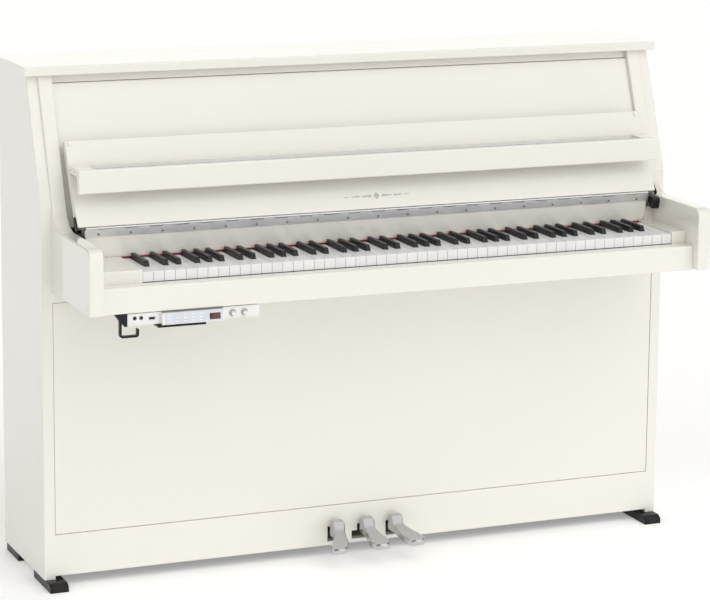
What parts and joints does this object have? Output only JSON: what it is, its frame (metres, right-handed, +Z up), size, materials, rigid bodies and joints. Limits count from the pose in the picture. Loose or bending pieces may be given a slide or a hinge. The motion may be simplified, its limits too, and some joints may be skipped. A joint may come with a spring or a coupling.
{
  "type": "upright piano",
  "caption": "Compact upright piano in white lacquer with a leaning fallboard that carries a folding music shelf, pedals and an under-key headphone unit.",
  "frame": {"origin": "on the floor under the middle of the whole box", "axes": "+X to the player's right along the keyboard, -Y towards the player, +Z up"},
  "size_m": [1.49, 0.574, 1.11],
  "materials": {
    "case_lacquer": "polished ivory-white lacquer over wood",
    "white_key_resin": "polished white key resin",
    "black_key_resin": "satin black",
    "hinge_metal": "satin silver",
    "screw_steel": "bright",
    "pedal_nickel": "polished edge, satin tread",
    "black_plastic": "satin black",
    "black_steel": "black powder coat",
    "grey_felt": "pressed felt",
    "red_felt": "pressed felt",
    "white_felt": "wool felt",
    "plate_bronze": "bronze paint",
    "string_steel": "drawn wire",
    "bare_wood": "clear lacquer",
    "spruce": "clear lacquer",
    "panel_white": "satin white moulding"
  },
  "bodies": {
    "cabinet": {"action_frame": "bare_wood", "back_frame": "bare_wood", "balance_pins": "screw_steel", "bottom_board": "bare_wood", "control_panel": "panel_white", "cross_rails": "case_lacquer", "fall_hinge_fixed": "hinge_metal", "feet": "black_plastic", "felt_linings": "red_felt", "headphone_hook": "black_steel", "hinge_screws": "screw_steel", "iron_frame": "plate_bronze", "key_bed": "bare_wood", "key_blocks": "case_lacquer", "key_frame": "bare_wood", "key_slip": "case_lacquer", "left_arm": "case_lacquer", "left_side_panel": "case_lacquer", "lid_hinge": "hinge_metal", "lower_panel": "case_lacquer", "name_board": "case_lacquer", "pedal_brackets": "black_steel", "right_arm": "case_lacquer", "right_side_panel": "case_lacquer", "soft_close_dampers": "black_plastic", "soundboard": "spruce", "strings": "string_steel", "toe_rail": "case_lacquer", "touch_unit": "panel_white", "tuning_pins": "screw_steel", "upper_panel": "case_lacquer"},
    "lid": {"top_lid": "case_lacquer"},
    "fallboard": {"fallboard_leaf": "case_lacquer", "fall_hinge_moving": "hinge_metal"},
    "shelf": {"music_shelf": "case_lacquer", "shelf_felt": "grey_felt"},
    "hammer_set": {"hammers": "white_felt"},
    "damper_set": {"dampers": "white_felt"},
    "mute": {"mute_rail": "white_felt"},
    "volume_knob": {"volume_knob": "panel_white"},
    "tone_knob": {"tone_knob": "panel_white"},
    "key_c4": {"key_c4": "white_key_resin"},
    "key_cs4": {"key_cs4": "black_key_resin"},
    "key_d4": {"key_d4": "white_key_resin"},
    "key_ds4": {"key_ds4": "black_key_resin"},
    "key_e4": {"key_e4": "white_key_resin"},
    "key_f4": {"key_f4": "white_key_resin"},
    "key_fs4": {"key_fs4": "black_key_resin"},
    "key_g4": {"key_g4": "white_key_resin"},
    "key_gs4": {"key_gs4": "black_key_resin"},
    "key_a4": {"key_a4": "white_key_resin"},
    "key_as4": {"key_as4": "black_key_resin"},
    "key_b4": {"key_b4": "white_key_resin"},
    "white_keys_bass": {"white_keys_bass": "white_key_resin"},
    "black_keys_bass": {"black_keys_bass": "black_key_resin"},
    "white_keys_treble": {"white_keys_treble": "white_key_resin"},
    "black_keys_treble": {"black_keys_treble": "black_key_resin"},
    "left_pedal": {"left_pedal": "pedal_nickel"},
    "middle_pedal": {"middle_pedal": "pedal_nickel"},
    "right_pedal": {"right_pedal": "pedal_nickel"}
  },
  "joints": [
    {"name": "lid_open", "type": "hinge", "parent": "cabinet", "child": "lid", "pos_m": [0, 0.284, 1.091], "axis": [-1, 0, 0], "range_deg": [0, 95]},
    {"name": "fallboard_swing", "type": "hinge", "parent": "cabinet", "child": "fallboard", "pos_m": [0, -0.0925, 0.788], "axis": [1, 0, 0], "range_deg": [0, 127.8]},
    {"name": "shelf_fold", "type": "hinge", "parent": "fallboard", "child": "shelf", "pos_m": [0, -0.03467, 0.91294], "axis": [-1, 0, 0], "range_deg": [0, 117.8]},
    {"name": "key_c4_press", "type": "hinge", "parent": "cabinet", "child": "key_c4", "pos_m": [0, -0.03, 0.697], "axis": [1, 0, 0], "range_deg": [0, 2.8], "stiffness_Nm_per_rad": 0.6, "springref_deg": -20.05},
    {"name": "key_cs4_press", "type": "hinge", "parent": "cabinet", "child": "key_cs4", "pos_m": [0, -0.03, 0.697], "axis": [1, 0, 0], "range_deg": [0, 2.8], "stiffness_Nm_per_rad": 0.6, "springref_deg": -20.05},
    {"name": "key_d4_press", "type": "hinge", "parent": "cabinet", "child": "key_d4", "pos_m": [0, -0.03, 0.697], "axis": [1, 0, 0], "range_deg": [0, 2.8], "stiffness_Nm_per_rad": 0.6, "springref_deg": -20.05},
    {"name": "key_ds4_press", "type": "hinge", "parent": "cabinet", "child": "key_ds4", "pos_m": [0, -0.03, 0.697], "axis": [1, 0, 0], "range_deg": [0, 2.8], "stiffness_Nm_per_rad": 0.6, "springref_deg": -20.05},
    {"name": "key_e4_press", "type": "hinge", "parent": "cabinet", "child": "key_e4", "pos_m": [0, -0.03, 0.697], "axis": [1, 0, 0], "range_deg": [0, 2.8], "stiffness_Nm_per_rad": 0.6, "springref_deg": -20.05},
    {"name": "key_f4_press", "type": "hinge", "parent": "cabinet", "child": "key_f4", "pos_m": [0, -0.03, 0.697], "axis": [1, 0, 0], "range_deg": [0, 2.8], "stiffness_Nm_per_rad": 0.6, "springref_deg": -20.05},
    {"name": "key_fs4_press", "type": "hinge", "parent": "cabinet", "child": "key_fs4", "pos_m": [0, -0.03, 0.697], "axis": [1, 0, 0], "range_deg": [0, 2.8], "stiffness_Nm_per_rad": 0.6, "springref_deg": -20.05},
    {"name": "key_g4_press", "type": "hinge", "parent": "cabinet", "child": "key_g4", "pos_m": [0, -0.03, 0.697], "axis": [1, 0, 0], "range_deg": [0, 2.8], "stiffness_Nm_per_rad": 0.6, "springref_deg": -20.05},
    {"name": "key_gs4_press", "type": "hinge", "parent": "cabinet", "child": "key_gs4", "pos_m": [0, -0.03, 0.697], "axis": [1, 0, 0], "range_deg": [0, 2.8], "stiffness_Nm_per_rad": 0.6, "springref_deg": -20.05},
    {"name": "key_a4_press", "type": "hinge", "parent": "cabinet", "child": "key_a4", "pos_m": [0, -0.03, 0.697], "axis": [1, 0, 0], "range_deg": [0, 2.8], "stiffness_Nm_per_rad": 0.6, "springref_deg": -20.05},
    {"name": "key_as4_press", "type": "hinge", "parent": "cabinet", "child": "key_as4", "pos_m": [0, -0.03, 0.697], "axis": [1, 0, 0], "range_deg": [0, 2.8], "stiffness_Nm_per_rad": 0.6, "springref_deg": -20.05},
    {"name": "key_b4_press", "type": "hinge", "parent": "cabinet", "child": "key_b4", "pos_m": [0, -0.03, 0.697], "axis": [1, 0, 0], "range_deg": [0, 2.8], "stiffness_Nm_per_rad": 0.6, "springref_deg": -20.05},
    {"name": "white_keys_bass_press", "type": "hinge", "parent": "cabinet", "child": "white_keys_bass", "pos_m": [0, -0.03, 0.697], "axis": [1, 0, 0], "range_deg": [0, 2.8], "stiffness_Nm_per_rad": 13.8, "springref_deg": -20.05},
    {"name": "black_keys_bass_press", "type": "hinge", "parent": "cabinet", "child": "black_keys_bass", "pos_m": [0, -0.03, 0.697], "axis": [1, 0, 0], "range_deg": [0, 2.8], "stiffness_Nm_per_rad": 9.6, "springref_deg": -20.05},
    {"name": "white_keys_treble_press", "type": "hinge", "parent": "cabinet", "child": "white_keys_treble", "pos_m": [0, -0.03, 0.697], "axis": [1, 0, 0], "range_deg": [0, 2.8], "stiffness_Nm_per_rad": 13.2, "springref_deg": -20.05},
    {"name": "black_keys_treble_press", "type": "hinge", "parent": "cabinet", "child": "black_keys_treble", "pos_m": [0, -0.03, 0.697], "axis": [1, 0, 0], "range_deg": [0, 2.8], "stiffness_Nm_per_rad": 9, "springref_deg": -20.05},
    {"name": "left_pedal_press", "type": "hinge", "parent": "cabinet", "child": "left_pedal", "pos_m": [0, 0.06, 0.064], "axis": [1, 0, 0], "range_deg": [0, 6], "stiffness_Nm_per_rad": 8, "springref_deg": -22.92},
    {"name": "middle_pedal_press", "type": "hinge", "parent": "cabinet", "child": "middle_pedal", "pos_m": [0, 0.06, 0.064], "axis": [1, 0, 0], "range_deg": [0, 6], "stiffness_Nm_per_rad": 8, "springref_deg": -22.92},
    {"name": "right_pedal_press", "type": "hinge", "parent": "cabinet", "child": "right_pedal", "pos_m": [0, 0.06, 0.064], "axis": [1, 0, 0], "range_deg": [0, 6], "stiffness_Nm_per_rad": 8, "springref_deg": -22.92},
    {"name": "hammer_approach", "type": "hinge", "parent": "cabinet", "child": "hammer_set", "pos_m": [0, 0.112, 0.805], "axis": [-1, 0, 0], "range_deg": [0, 7.2]},
    {"name": "damper_lift", "type": "hinge", "parent": "cabinet", "child": "damper_set", "pos_m": [0, 0.145, 0.8], "axis": [1, 0, 0], "range_deg": [0, 3]},
    {"name": "mute_drop", "type": "slide", "parent": "cabinet", "child": "mute", "axis": [0, 0, -1], "range_m": [0, 0.028]},
    {"name": "volume_turn", "type": "hinge", "parent": "cabinet", "child": "volume_knob", "pos_m": [-0.397, -0.262, 0.626], "axis": [0, 1, 0], "range_deg": [0, 280]},
    {"name": "tone_turn", "type": "hinge", "parent": "cabinet", "child": "tone_knob", "pos_m": [-0.371, -0.262, 0.626], "axis": [0, 1, 0], "range_deg": [0, 280]}
  ],
  "couplings": [
    {"joint": "shelf_fold", "follows": "fallboard_swing", "ratio": 0.92175},
    {"joint": "hammer_approach", "follows": "left_pedal_press", "ratio": 1.2},
    {"joint": "damper_lift", "follows": "right_pedal_press", "ratio": 0.5},
    {"joint": "mute_drop", "follows": "middle_pedal_press", "m_per_rad": 0.26638}
  ]
}
